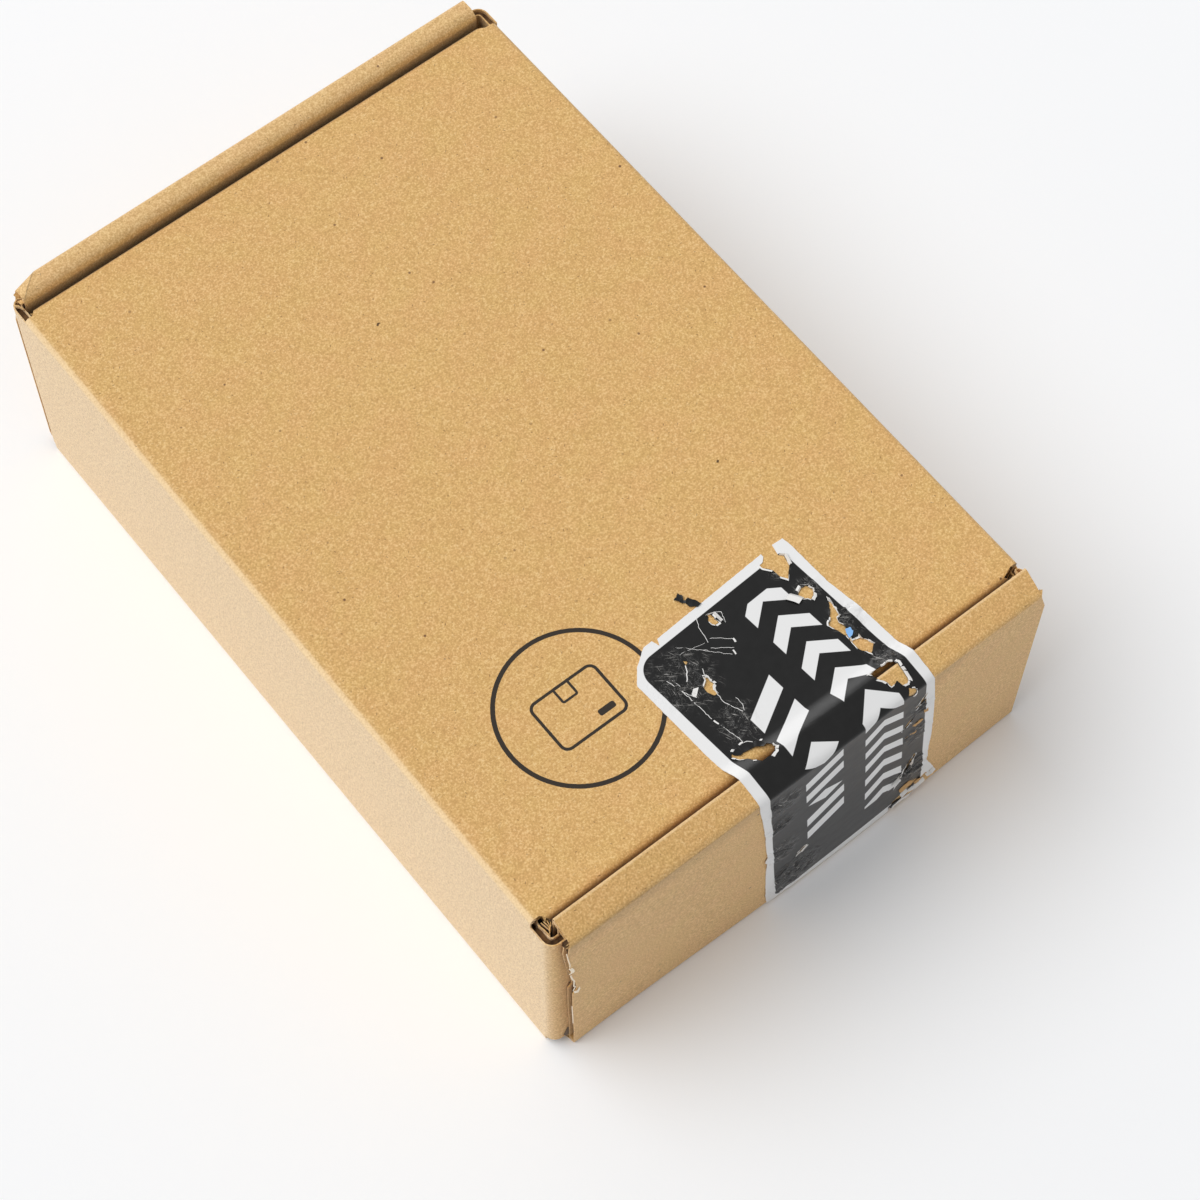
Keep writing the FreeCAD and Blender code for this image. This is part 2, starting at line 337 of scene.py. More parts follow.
# The near rolled end: a flap of the floor that comes up as the end wall, goes over the ears at
# the top and down again inside. It bellies out a little over the ground, leans out at the top,
# and the top has sagged.
END_TOP = 49.8
RIDGE_INSIDE = 71.4
NEAR_SIDES = (-47.7, 49.3)
NEAR_BEND = 1.0
BELLY = 0.9
LEAN = 0.7
SAG = 1.75
# The left raw edge of the outer wall, as height and x. It is torn back in the middle.
NEAR_EDGE = [(0.0, -47.1), (8.3, -47.1), (16.6, -47.4), (25.2, -47.4), (26.2, -46.6),
             (29.0, -46.8), (35.7, -47.7), (45.0, -48.5), (48.0, -48.5), (49.8, -47.7)]


def near_face(x, z):
    """How far the near end wall stands out: it bellies over the ground, and leans at the top."""
    belly = max(0.0, math.cos(math.pi * (x - 8.0) / 105.0)) ** 2 * max(0.0, 1 - z / 46.0)
    return BELLY * belly + (LEAN + 0.004 * x) * z / END_TOP


def near_drop(x, y, z):
    """How far the top of the near end has sagged towards its outer crease."""
    across = part_way(-y, RIDGE_INSIDE, RIDGE_INSIDE + 4.6)
    return (SAG - 0.008 * x) * across * part_way(z, 30.0, 48.0)


def rolled_end(end, sides, radii):
    """One end wall with its roll over the ears, as a sheet without thickness."""
    line = [(0, end * WALL_HALF, 0), (0, end * HALF_LENGTH, 0), (0, end * HALF_LENGTH, END_TOP),
            (0, end * RIDGE_INSIDE, END_TOP), (0, end * RIDGE_INSIDE, 1.75)]
    roll = folded_strip(line, radii, (sides[0], 0, 0), (sides[1] - sides[0], 0, 0))
    cut_at(roll, 0, lengths(sides[0] + 1.5, sides[1] - 1.5, 6.0))
    cut_at(roll, 2, lengths(6.0, 44.0, 5.0))
    return roll


near_end = rolled_end(-1, NEAR_SIDES, [CREASE, NEAR_BEND, 0.6])
cut_at(near_end, 2, [25.2, 26.2, 29.0, 35.7])
for v in near_end.verts:
    if v.co.y < -72.5 and v.co.x < NEAR_SIDES[0] + 0.01:
        for (low, low_x), (high, high_x) in zip(NEAR_EDGE, NEAR_EDGE[1:]):
            if low <= v.co.z <= high:
                v.co.x = low_x + (high_x - low_x) * (v.co.z - low) / (high - low)
    if v.co.y < -72.5 and v.co.x > NEAR_SIDES[1] - 0.01:
        v.co.x = 50.2 - 1.4 * part_way(v.co.z, 44.0, 48.8)
    if v.co.y < -74.0:
        v.co.y -= near_face(v.co.x, v.co.z)
    v.co.z -= near_drop(*v.co)
    if v.co.y > -71.0 and v.co.z < 48.0:
        v.co.x = min(v.co.x, 48.6)
thicken(near_end, ((0, -HALF_LENGTH, 30), (0, -1, 0)))
# Partly painted highlight: the ridge's inner top edge is made paler both for abrasion and for the
# light its crease catches.
store(near_end, "wear_and_highlight", lambda p: 0.5 if p.y > -71.9 and p.z > 49.4 else 0.0)
# Painted shade: a dark line along the outer wall just under the near end's top crease.
store(near_end, "shade", lambda p: 0.22 if p.y < -75.9 and 46.4 < p.z < 47.3 else 0.0)
finished(near_end, "near_rolled_end", [kraft, fluting])


# The far rolled end, folded in the same way. Its corner over the hinge wall is crushed.
FAR_SIDES = (-49.5, 47.5)
DENT = Vector((-44.6, 75.0, 0))
DENT_WAY = Vector((-0.655, 0.756, 0))
far_end = rolled_end(1, FAR_SIDES, [CREASE, CREASE, 2.0])
cut_at(far_end, 0, [-48.6, -47.4, -46.2, -45.0])
for v in far_end.verts:
    if v.co.x < -45.0:
        v.co.x += 0.2 * (-45.0 - v.co.x) * part_way(v.co.z, 40.0, 48.0)
for offset in (-0.22, 0.0, 0.22):
    bmesh.ops.bisect_plane(far_end, geom=far_end.verts[:] + far_end.edges[:] + far_end.faces[:],
                           dist=1e-4, plane_co=DENT + offset * DENT_WAY, plane_no=DENT_WAY)
for v in far_end.verts:
    beyond = (v.co - DENT).dot(DENT_WAY)
    crushed = max(0.0, min(1.2, beyond / 3.7)) * part_way(v.co.z, 40.0, 48.0)
    v.co += crushed * Vector((0.2, -0.8, -1.3))
    if v.co.y < 71.0 and v.co.z < 48.0:
        v.co.x = max(v.co.x, -48.6)
thicken(far_end, ((0, HALF_LENGTH, 30), (0, 1, 0)))
store(far_end, "pale", lambda p: 0.2 if p.z > 49.0 else 0.0)


def far_shade(p):
    """Painted shade: darker low on the inner wall, down in the gap by the lid, and along the crease
    of the dent.
    """
    if p.y < 72.0 and p.z < 47.9:
        return 0.3
    return 0.5 if p.z > 48.9 and abs((p - DENT).dot(DENT_WAY)) < 0.1 else 0.0


store(far_end, "shade", far_shade)
finished(far_end, "far_rolled_end", [kraft, fluting])


# The lid: one panel with a crease on every side. It hangs on the hinge wall, its two end flaps
# are tucked down inside the rolled ends, and its front flap inside the front wall.
LID_TOP = 47.8
LID_HALF = 70.6
FLAP_HALF = 46.3
FRONT = 50.0
# How far each end flap's hem reaches past FLAP_HALF, at the lid and below the crease.
RELIEFS = {(-1, False): (2.3, 1.2), (-1, True): (2.2, -0.8),
           (1, False): (2.3, 1.6), (1, True): (1.5, 0)}
lid = bmesh.new()
bmesh.ops.create_grid(lid, x_segments=1, y_segments=1, size=1.0)
for v in lid.verts:
    v.co = (FRONT - CREASE if v.co.x > 0 else CREASE - HALF_WIDTH, CREASE_HALF * v.co.y, LID_TOP)
cut_at(lid, 0, [-48.7, -FLAP_HALF, FLAP_HALF] + lengths(-40.0, 40.0, 10.0))
cut_at(lid, 1, lengths(-66.0, 66.0, 11.0))
hinge = fold(lid, rim(lid, lambda p: p.x < 0.01 + CREASE - HALF_WIDTH),
             (CREASE - HALF_WIDTH, 0, LID_TOP - CREASE), (0, 1, 0), -90)
pull(lid, hinge, (0, 0, HINGE_FOOT + CREASE - LID_TOP))
for end in (-1, 1):
    hem = rim(lid, lambda p: p.y * end > 69.2 and abs(p.x) < FLAP_HALF and p.z > 47.7)
    roll = LID_HALF - CREASE_HALF
    flap = fold(lid, hem, (0, end * CREASE_HALF, LID_TOP - roll), (1, 0, 0), -end * 90, 7)
    for v in lid.verts:
        if abs(abs(v.co.x) - FLAP_HALF) < 0.01 and v.co.y * end > CREASE_HALF - 0.01:
            down = part_way(v.co.y * end, CREASE_HALF, LID_HALF)
            wide, narrow = RELIEFS[end, v.co.x > 0]
            v.co.x += math.copysign(narrow + (wide - narrow) * (1 - down) ** 1.3, v.co.x)
    flap = pull(lid, flap, (0, 0, -6.8))
    flap = pull(lid, flap, (0, 0, -8.0))
    for v in {v for e in flap for v in e.verts}:
        v.co.x = max(-38.3, min(38.3, v.co.x))
front = fold(lid, rim(lid, lambda p: p.x > FRONT - CREASE - 0.01 and p.z > 47.7),
             (FRONT - CREASE, 0, LID_TOP - CREASE), (0, 1, 0), 90)
front = pull(lid, front, (-1.35, 0, -2.4))
front = pull(lid, front, (0, 0, -22.0))
front = pull(lid, front, (0, 0, -8.0))
for v in {v for e in front for v in e.verts}:
    v.co.y = max(-60.0, min(60.0, v.co.y))
for v in lid.verts:
    if v.co.y < -69.0:
        v.co.y += 0.35 * max(0.0, 1 - (v.co.x / 47.0) ** 2)
thicken(lid, ((0, 0, LID_TOP), (0, 0, 1)))
# Partly painted highlight: the hinge crease is made paler both for abrasion and for the light it
# catches from the hinge side.
store(lid, "wear_and_highlight", lambda p: 0.6 if -50.38 < p.x < -49.45 and p.z > 46.0 else 0.0)
# Painted sheen: the lid's side down the hinge wall is made paler, as on the tray, for the sheen of
# grazing light.
store(lid, "pale", lambda p: 0.72 * part_way(-p.x, 49.2, 50.2))
# Painted shade: the lid's end hems go towards near black as they roll down into the gap by the
# rolled ends.
store(lid, "shade", lambda p: max(0.0, min(0.9, (abs(p.y) - 69.9) / 0.8,
                                           (LID_TOP + 0.3 - p.z) / 0.8)))


def printed_sign(tree, place, grain):
    """A ring with the outline of a parcel in it, as a mask of the printed ink."""
    flat = add(tree, "ShaderNodeMapping", {"Vector": place, "Location": (-0.0219, -0.0454, 0),
                                           "Scale": (1, 1, 0)}, vector_type="TEXTURE").outputs[0]
    uneven = between(tree, grain, 0.2, 0.8, -0.00006, 0.00006)

    def line(distance, half):
        """Ink within half a line's width of where the distance is zero."""
        away = sums(tree, "ADD", sums(tree, "ABSOLUTE", distance), uneven)
        return between(tree, away, half + 0.00003, half - 0.00003)

    def rounded(centre, half_size, corner):
        """Distance from the outline of a rounded rectangle."""
        here = add(tree, "ShaderNodeVectorMath", {0: flat, 1: (*centre, 0)}, operation="SUBTRACT")
        here = add(tree, "ShaderNodeVectorMath", {0: here.outputs[0]}, operation="ABSOLUTE")
        here = add(tree, "ShaderNodeVectorMath",
                   {0: here.outputs[0], 1: (half_size[0] - corner, half_size[1] - corner, 0)},
                   operation="SUBTRACT")
        here = add(tree, "ShaderNodeVectorMath", {0: here.outputs[0], 1: (0, 0, 0)},
                   operation="MAXIMUM")
        far = add(tree, "ShaderNodeVectorMath", {0: here.outputs[0]}, operation="LENGTH")
        return sums(tree, "SUBTRACT", far.outputs["Value"], corner)

    out = add(tree, "ShaderNodeVectorMath", {0: flat}, operation="LENGTH").outputs["Value"]
    ring = line(sums(tree, "SUBTRACT", out, 0.01366), 0.00040)
    parcel = line(rounded((0, 0), (0.0064, 0.0049), 0.0013), 0.00027)
    flap = line(rounded((0, 0.0035), (0.0014, 0.0014), 0.0003), 0.00022)
    bar = between(tree, rounded((0.0034, -0.0029), (0.0016, 0.0006), 0.0004), 0.00003, -0.00003)
    ink = ring
    for mark in (parcel, flap, bar):
        ink = sums(tree, "MAXIMUM", ink, mark)
    return sums(tree, "MULTIPLY", ink, 0.98)


finished(lid, "lid", [kraft_finish("kraft liner, printed", printed_sign), fluting])


# The seal: a printed film, stuck down from the lid over the near rolled end to the foot of the
# end wall. It has been picked at, so it is creased, torn and holed, and shows its white back.
FILM = 0.12
SEAL_TOP = 44.2


def film_point(x, s, lift=0.0):
    """A point of the film at x, s millimetres down from its top edge, and lifted off the board."""
    bend = HALF_LENGTH - NEAR_BEND - SEAL_TOP
    turn = min(max(0.0, s - bend) / NEAR_BEND, math.pi / 2)
    ridge = part_way(s, 23.5, 27.5)
    out = near_face(x, 49) * part_way(s, 27.4, bend)
    if s < bend:
        rise = (END_TOP - LID_TOP) * ridge * (0.6 + 0.4 * ridge * (3 - 2 * ridge))
        point = Vector((x, -SEAL_TOP - s - out, LID_TOP + rise + lift))
    elif turn < math.pi / 2:
        way = Vector((0, -math.sin(turn), math.cos(turn)))
        centre = Vector((x, NEAR_BEND - HALF_LENGTH - out, END_TOP - NEAR_BEND))
        point = centre + (NEAR_BEND + lift) * way
    else:
        z = END_TOP - NEAR_BEND - (s - bend - NEAR_BEND * math.pi / 2)
        point = Vector((x, -HALF_LENGTH - near_face(x, z) - lift, z))
    point.z -= near_drop(*point)
    return point


def torn(points, step, rough, seed):
    """An outline broken up into short ragged steps."""
    chance = random.Random(seed)
    ragged = []
    for a, b in zip(points, points[1:] + points[:1]):
        a, b = Vector(a), Vector(b)
        count = max(1, round((b - a).length / step))
        for i in range(count):
            nudge = Vector((chance.uniform(-rough, rough), chance.uniform(-rough, rough)))
            ragged.append(a.lerp(b, i / count) + nudge)
    return ragged


# Where the film is crumpled: the middle of each place, how far it reaches and how high it stands.
crumples = [
    ((-6.0, 8.0), 6.5, 0.30), ((-4.0, 19.0), 4.5, 0.25), ((21.8, 15.6), 3.6, 0.85),
    ((21.6, 24.5), 3.2, 0.45), ((20.2, 7.6), 2.6, 0.40), ((18.5, 1.6), 2.4, 0.35),
    ((-5.4, 38.0), 4.4, 0.80), ((-6.0, 47.0), 3.8, 0.65), ((-4.8, 60.0), 4.5, 0.50),
    ((-1.0, 74.0), 6.5, 0.60), ((24.2, 41.0), 3.4, 0.55), ((24.4, 52.0), 3.8, 0.55),
    ((25.0, 68.0), 5.5, 0.75),
]


def crumple(x, s):
    """How far the film stands off the board where it is crumpled."""
    height = 0.0
    for (mid_x, mid_s), reach, rise in crumples:
        near = max(0.0, 1 - math.hypot(x - mid_x, s - mid_s) / reach)
        if near > 0:
            fine = 1 - abs(noise.noise(Vector((0.75 * x, 0.75 * s, 5.0)))) * 2.6
            wide = 1 - abs(noise.noise(Vector((0.32 * x, 0.42 * s, 9.0)))) * 2.6
            folds = 0.55 * max(0.0, fine) ** 2 + 0.45 * max(0.0, wide) ** 2
            height = max(height, rise * near ** 0.6 * folds)
    return height


# The film's torn outline and its holes, as x and the way down from its top edge.
seal_edge = [(-12.4, 4.1), (-10.4, 1.6), (-7.3, -0.6), (-5.6, -0.6), (-5.1, 0.8), (-4.6, -0.4),
             (18.2, -1.8), (18.2, -1.2), (17.5, -0.5), (16.7, -0.4), (16.7, 0.2), (17.8, 1.7),
             (18.0, 3.2),
             (18.8, 4.5), (19.3, 3.8), (20.5, 2.6), (21.0, 0.7), (20.3, 0.0), (20.7, -2.0),
             (22.8, -1.9), (23.1, -0.3), (23.2, 2.3), (23.5, 9.0), (24.3, 13.6), (24.7, 17.2),
             (25.4, 26.7), (25.6, 31.0), (26.4, 36.9), (27.4, 47.3), (28.2, 58.2), (28.2, 68.3),
             (30.9, 75.4), (29.7, 76.2), (28.9, 75.1), (27.7, 76.0), (26.6, 74.3), (25.2, 75.3),
             (24.0, 74.6), (23.2, 76.6), (21.6, 77.2), (20.9, 80.2), (9.7, 80.3), (-6.2, 80.2),
             (-6.8, 75.7), (-7.3, 63.6), (-7.4, 60.5), (-7.9, 59.9), (-7.3, 58.3), (-7.8, 55.0),
             (-8.4, 48.0), (-9.2, 41.0), (-10.2, 34.0), (-10.7, 26.7), (-11.4, 21.2)]
seal_holes = [
    [(4.4, 1.1), (4.9, 1.8), (4.9, 3.6), (4.2, 3.4), (3.7, 2.5), (4.2, 1.7)],
    [(-4.1, 5.5), (-3.8, 5.3), (-3.5, 5.6), (-3.6, 6.0), (-4.0, 6.0)],
    [(-6.5, 11.1), (-6.2, 10.9), (-5.9, 11.2), (-6.1, 11.5)],
    [(-3.1, 9.4), (-2.6, 10.1), (-2.9, 10.6), (-2.6, 11.5), (-3.2, 12.0), (-3.3, 13.2),
     (-3.8, 13.0), (-4.5, 12.0), (-4.3, 11.0), (-3.7, 10.6)],
    [(-8.3, 22.6), (-7.3, 22.3), (-5.0, 22.5), (-3.2, 23.9), (-2.5, 25.4), (-2.4, 26.2),
     (-3.1, 26.8), (-4.1, 27.3), (-5.7, 27.0), (-7.1, 25.1), (-8.1, 23.8), (-8.6, 23.1)],
    [(18.9, 7.0), (20.2, 7.0), (20.6, 8.3), (20.1, 9.2), (19.2, 9.5), (18.6, 8.7), (17.8, 8.4),
     (18.1, 7.6)],
    [(21.3, 11.4), (21.4, 12.0), (21.3, 13.6), (20.9, 14.7), (20.1, 15.0), (19.9, 16.0),
     (20.3, 17.0), (19.6, 19.1), (20.8, 19.3), (21.6, 20.6), (22.0, 21.8), (21.5, 22.2),
     (20.6, 22.9), (20.3, 22.4), (19.5, 21.5), (19.3, 20.2), (19.5, 19.0), (19.2, 17.1),
     (18.4, 15.0), (19.7, 13.7), (20.9, 12.3)],
    [(17.3, 26.0), (19.2, 26.0), (21.2, 26.3), (22.0, 27.3), (22.0, 28.0), (21.8, 29.5),
     (21.3, 30.2), (20.5, 29.8), (20.0, 29.1), (18.9, 29.2), (18.6, 28.5), (17.7, 27.6)],
    [(21.0, 30.6), (21.9, 31.1), (21.9, 32.3), (21.6, 32.7), (20.7, 32.2), (20.3, 31.5)],
    [(24.2, 36.5), (24.7, 36.2), (24.2, 38.4), (22.8, 40.4), (22.4, 40.0), (23.4, 38.2)],
    [(21.8, 43.6), (22.6, 42.9), (22.4, 44.2), (20.6, 46.4), (20.3, 46.0)],
    [(22.8, 64.6), (25.0, 61.2), (25.2, 62.2), (23.6, 65.2), (21.4, 67.8), (21.2, 67.2)],
    [(-0.4, 66.3), (0.9, 65.6), (1.5, 66.0), (0.2, 67.0), (-0.6, 67.2)],
]
film = bmesh.new()
torn_holes = []
for number, outline in enumerate([seal_edge] + seal_holes):
    rough = 0.035 if number == 0 else 0.13
    ragged = torn(outline, 0.5, rough, number)
    if number:
        torn_holes.append(ragged)
    corners = [film.verts.new((p.x, p.y, 0)) for p in ragged]
    for a, b in zip(corners, corners[1:] + corners[:1]):
        film.edges.new((a, b))
bmesh.ops.triangle_fill(film, use_beauty=True, use_dissolve=False, edges=film.edges[:],
                        normal=(0, 0, 1))
cut_at(film, 0, lengths(-12.0, 30.5, 0.9))
cut_at(film, 1, lengths(-1.2, 23.6, 0.9) + lengths(24.0, 33.0, 0.33) + lengths(33.8, 80.0, 0.9))
print_map = film.loops.layers.uv.new("print")
for face in film.faces:
    for corner in face.loops:
        corner[print_map].uv = (corner.vert.co.x, corner.vert.co.y)
for v in film.verts:
    v.co = film_point(v.co.x, v.co.y, 0.03 + crumple(v.co.x, v.co.y))
bmesh.ops.recalc_face_normals(film, faces=film.faces[:])
if sum(f.normal.z for f in film.faces) < 0:
    bmesh.ops.reverse_faces(film, faces=film.faces[:])
bmesh.ops.solidify(film, geom=film.faces[:], thickness=-FILM)

seal_print = bpy.data.materials.new("printed film")
seal_print.use_nodes = True
tree = seal_print.node_tree
shader = tree.nodes["Principled BSDF"]
where = add(tree, "ShaderNodeUVMap", uv_map="print").outputs[0]
split = add(tree, "ShaderNodeSeparateXYZ", {0: where})
across, down = split.outputs[0], split.outputs[1]


def all_of(*masks):
    """A mask where all the masks hold."""
    whole = masks[0]
    for mask in masks[1:]:
        whole = sums(tree, "MULTIPLY", whole, mask)
    return whole


def any_of(*masks):
    """A mask where at least one of the masks holds."""
    whole = masks[0]
    for mask in masks[1:]:
        whole = sums(tree, "MAXIMUM", whole, mask)
    return whole


def stretch(value, low, high):
    """A mask between two values, with edges as soft as print."""
    return all_of(between(tree, value, low - 0.04, low + 0.04),
                  between(tree, value, high + 0.04, high - 0.04))


# The film is a little askew, so its print is measured from its own slanting left edge.
left = sums(tree, "MULTIPLY_ADD", down, 0.0816, -12.7)
right = sums(tree, "MULTIPLY_ADD", down, 0.0900, 23.0)
width = sums(tree, "SUBTRACT", right, left)
a = sums(tree, "MULTIPLY", sums(tree, "DIVIDE", sums(tree, "SUBTRACT", across, left), width), 36.0)
t = sums(tree, "ADD", sums(tree, "MULTIPLY_ADD", across, 0.051, 0.85), down)

# A black field with round corners inside a white border.
bend = sums(tree, "MULTIPLY_ADD",
            all_of(sums(tree, "LESS_THAN", a, 17.95), sums(tree, "LESS_THAN", t, 40.65)), 2.6, 0.9)
dx = sums(tree, "SUBTRACT", sums(tree, "ABSOLUTE", sums(tree, "SUBTRACT", a, 17.95)),
          sums(tree, "SUBTRACT", 16.2, bend))
dy = sums(tree, "SUBTRACT", sums(tree, "ABSOLUTE", sums(tree, "SUBTRACT", t, 40.65)),
          sums(tree, "SUBTRACT", 38.9, bend))
corner = sums(tree, "SQRT", sums(tree, "ADD",
                                 sums(tree, "POWER", sums(tree, "MAXIMUM", dx, 0.0), 2.0),
                                 sums(tree, "POWER", sums(tree, "MAXIMUM", dy, 0.0), 2.0)))
field = between(tree, sums(tree, "SUBTRACT", corner, bend), 0.04, -0.04)

# Two rows of bold marks: chevrons, and slanting bars with diamonds among them.
peak = sums(tree, "MULTIPLY", sums(tree, "ABSOLUTE", sums(tree, "SUBTRACT", a, 25.4)), 0.75)
beat = sums(tree, "MODULO", sums(tree, "ADD", sums(tree, "SUBTRACT", t, peak), 36.0), 6.4)
chevrons = all_of(stretch(beat, 1.2, 4.1), stretch(a, 21.4, 29.4), stretch(t, 5.2, 71.5))
slant = sums(tree, "MULTIPLY_ADD", sums(tree, "SUBTRACT", a, 12.9), 0.5, t)
third = sums(tree, "GREATER_THAN", sums(tree, "MODULO", slant, 17.4), 11.6)
beat = sums(tree, "MODULO", slant, 5.8)
bars = all_of(stretch(beat, 1.3, 4.5), sums(tree, "SUBTRACT", 1.0, third))
side = sums(tree, "SUBTRACT", a, 12.9)
ahead = sums(tree, "SUBTRACT", sums(tree, "SUBTRACT", beat, 2.9), sums(tree, "MULTIPLY", side, 0.5))
far = sums(tree, "ADD", sums(tree, "DIVIDE", sums(tree, "ABSOLUTE", side), 3.6),
           sums(tree, "DIVIDE", sums(tree, "ABSOLUTE", ahead), 2.1))
diamonds = all_of(between(tree, far, 1.01, 0.99), third)
row = all_of(any_of(bars, diamonds), stretch(a, 9.0, 16.8), stretch(slant, 17.4, 63.8))
marks = any_of(chevrons, row)

# Scratches through the black, thick where the film is crumpled.
rubbed = None
for (mid_x, mid_s), reach, rise in crumples:
    spot = add(tree, "ShaderNodeVectorMath", {0: where, 1: (mid_x, mid_s, 0)}, operation="DISTANCE")
    share = between(tree, spot.outputs["Value"], reach * 1.05, reach * 0.35)
    rubbed = share if rubbed is None else any_of(rubbed, share)
patchy = add(tree, "ShaderNodeTexNoise",
             {"Vector": where, "Scale": 0.55, "Detail": 3.0}).outputs["Fac"]
rubbed = all_of(rubbed, between(tree, patchy, 0.42, 0.58))
strokes = fibres(tree, where, [(0, 0, 36), (0, 0, 43), (0, 0, 50), (0, 0, 68)], 5.0, 0.26, 0.20)
hairs = fibres(tree, where, [(0, 0, 30), (0, 0, 39), (0, 0, 98)], 2.4, 0.16, 0.25)
crazing = add(tree, "ShaderNodeTexNoise", {"Vector": where, "Scale": 1.1, "Detail": 4.0,
                                           "Distortion": 1.2}).outputs["Fac"]
crack = between(tree, sums(tree, "ABSOLUTE", sums(tree, "SUBTRACT", crazing, 0.5)), 0.011, 0.004)
scratch = all_of(rubbed, any_of(strokes, all_of(hairs, 0.8), all_of(crack, 0.55)))

black = blend(tree, between(tree, patchy, 0.3, 0.7), (0.006, 0.006, 0.006, 1.0),
              (0.009, 0.009, 0.009, 1.0))
ink = blend(tree, marks, black, (0.80, 0.80, 0.80, 1.0))
ink = blend(tree, sums(tree, "MULTIPLY", scratch, 0.85), ink, (0.62, 0.60, 0.57, 1.0))
ink = blend(tree, field, (0.82, 0.82, 0.82, 1.0), ink)
tree.links.new(ink, shader.inputs["Base Color"])
shader.inputs["Roughness"].default_value = 0.28
shader.inputs["Specular IOR Level"].default_value = 0.22
dents = add(tree, "ShaderNodeTexNoise", {"Vector": where, "Scale": 1.6, "Detail": 3.0,
                                         "Distortion": 0.6}).outputs["Fac"]
faint = add(tree, "ShaderNodeTexNoise",
            {"Vector": where, "Scale": 0.25, "Detail": 2.0}).outputs["Fac"]
height = sums(tree, "ADD", all_of(dents, rubbed), sums(tree, "MULTIPLY", faint, 0.25))
bump = add(tree, "ShaderNodeBump", {"Height": height, "Strength": 0.6, "Distance": 0.00035})
tree.links.new(bump.outputs[0], shader.inputs["Normal"])
finished(film, "seal_film", [seal_print], "seal_label")


# What hangs off the seal: curled tatters round its holes and along its tears with their white
# back up, black shreds of the film, kraft torn off the board and a pale blue chip.
SHRED = 0.07


def plain_finish(name, colour, roughness, gloss=0.5):
    """A finish of one colour."""
    made = bpy.data.materials.new(name)
    made.use_nodes = True
    inputs = made.node_tree.nodes["Principled BSDF"].inputs
    inputs["Base Color"].default_value = (*colour, 1.0)
    inputs["Roughness"].default_value = roughness
    inputs["Specular IOR Level"].default_value = gloss
    return made


def curl(tatters, run, away, width, rise):
    """Adds a strip of torn film along a run of points, curling up and away from the tear."""
    here = [tatters.verts.new((p.x, p.y, 0.10)) for p in run]
    edges = [tatters.edges.new(pair) for pair in zip(here, here[1:])]
    for out, up in ((0.45, rise), (0.85, -0.25 * rise)):
        edges = pull(tatters, edges, (away.x * width * out, away.y * width * out, up))


chance = random.Random(11)
tatters = bmesh.new()
for outline in torn_holes:
    middle = sum(outline, Vector((0, 0))) / len(outline)
    start = 0
    while start < len(outline):
        count = chance.randint(2, 4)
        run = [outline[(start + i) % len(outline)] for i in range(count)]
        away = (run[count // 2] - middle).normalized()
        if chance.random() < 0.6:
            most = 0.5 if middle.y < 33 else 0.25
            curl(tatters, run, away, chance.uniform(0.12, most), chance.uniform(0.08, 0.7 * most))
        start += count - 1
for run, away, width, rise in (
        ([(16.7, -0.2), (16.8, 0.4), (17.8, 1.7)], (-1, 0.5), 0.3, 0.3),
        ([(18.0, 3.2), (18.8, 4.4), (19.4, 3.8)], (-0.6, 1), 0.35, 0.3),
        ([(20.5, 2.6), (21.0, 0.7), (20.4, 0.1)], (1, 0.2), 0.4, 0.45),
        ([(17.4, 6.6), (18.2, 7.8), (18.6, 8.6)], (-1, 0.3), 1.2, 0.55),
        ([(4.0, 1.2), (5.2, 1.6), (5.3, 3.6)], (1, 0.3), 0.35, 0.5),
        ([(23.2, 76.4), (24.4, 75.6), (26.4, 77.0), (28.6, 76.6)], (0.2, 1), 0.9, 0.5),
        ([(21.2, 79.4), (22.8, 78.9), (25.4, 79.6)], (0.5, -1), 0.7, 0.4),
        ([(29.0, 76.0), (30.2, 76.4), (30.9, 75.6)], (0.5, 1), 0.6, 0.5)):
    curl(tatters, [Vector(p) for p in run], Vector(away).normalized(), width, rise)
for width, line in (
        (0.09, [(2.9, 0.3), (2.0, 2.2), (1.4, 5.2)]), (0.10, [(4.6, 1.1), (6.6, 2.1), (5.9, 4.1)]),
        (0.07, [(2.1, 4.7), (4.9, 7.0)]), (0.30, [(5.2, 7.1), (5.1, 7.9)]),
        (0.07, [(1.0, 6.1), (4.1, 8.4)]), (0.25, [(3.9, 8.8), (3.7, 9.6)]),
        (0.06, [(-0.1, 5.8), (3.1, 9.2)]), (0.06, [(-3.3, 2.6), (0.5, 6.3)]),
        (0.05, [(-3.6, 4.0), (0.9, 4.9)]), (0.09, [(-4.0, 6.2), (-4.6, 7.2), (-5.7, 8.5)]),
        (0.10, [(-8.1, 6.3), (-7.5, 9.1), (-6.2, 11.6)]), (0.06, [(-7.3, 6.9), (-7.1, 8.8)]),
        (0.10, [(-2.3, 8.3), (-2.9, 9.9)]), (0.10, [(-3.2, 12.5), (-3.3, 15.0), (-2.0, 18.0)]),
        (0.08, [(-1.3, 15.4), (-1.2, 16.9), (-1.7, 18.0)]),
        (0.10, [(-7.3, 9.2), (-7.0, 12.6), (-6.7, 16.0)]), (0.25, [(-6.6, 16.4), (-6.3, 17.3)]),
        (0.09, [(-6.3, 17.7), (-5.8, 20.0), (-5.4, 22.0)])):
    torn_line = []
    for first, last in zip(line, line[1:]):
        first, last = Vector(first), Vector(last)
        count = max(2, round((last - first).length / 0.45))
        for i in range(count):
            nudge = Vector((chance.uniform(-0.09, 0.09), chance.uniform(-0.09, 0.09)))
            torn_line.append(first.lerp(last, i / count) + nudge)
    torn_line.append(last)
    along = (torn_line[-1] - torn_line[0]).normalized()
    curl(tatters, torn_line, Vector((-along.y, along.x)), width, 0.05 + 0.4 * width)
